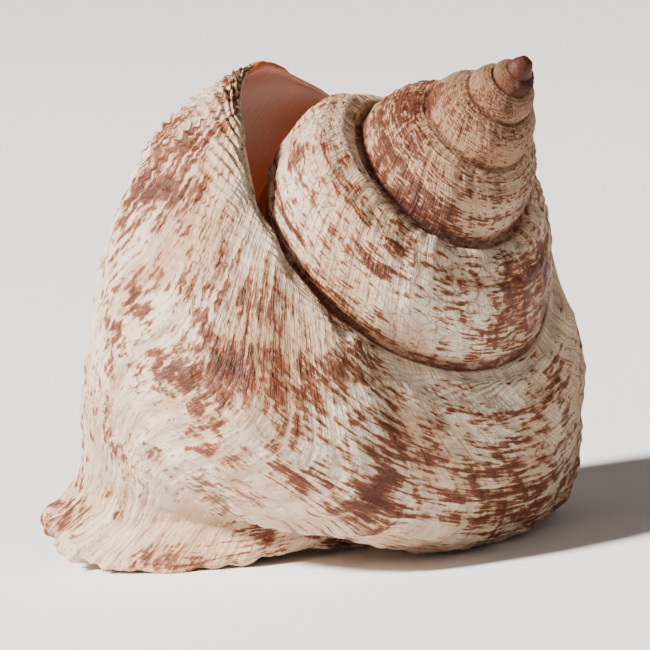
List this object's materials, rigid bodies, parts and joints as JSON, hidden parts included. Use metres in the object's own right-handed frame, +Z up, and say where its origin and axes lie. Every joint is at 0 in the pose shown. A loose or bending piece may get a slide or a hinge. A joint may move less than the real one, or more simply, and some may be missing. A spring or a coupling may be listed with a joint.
{
  "type": "sea snail shell",
  "caption": "Empty sea snail shell with a stepped pointed spire, a swollen last whorl, a wide winged outer lip and a flared band round its front end.",
  "frame": {"origin": "centre of the bounding box at the height of the surface the shell rests on", "axes": "+Z up as the shell rests, +X to the right of the shell as pictured, with the spire tip up and to the right, and +Y away from the viewer"},
  "size_m": [0.0888, 0.0806, 0.0778],
  "materials": {
    "shell": "dull cream lime shell with red-brown dashes and blotches along its spiral cords, and a smooth peach inside"
  },
  "bodies": {
    "root": {"shell": "shell"}
  },
  "joints": []
}
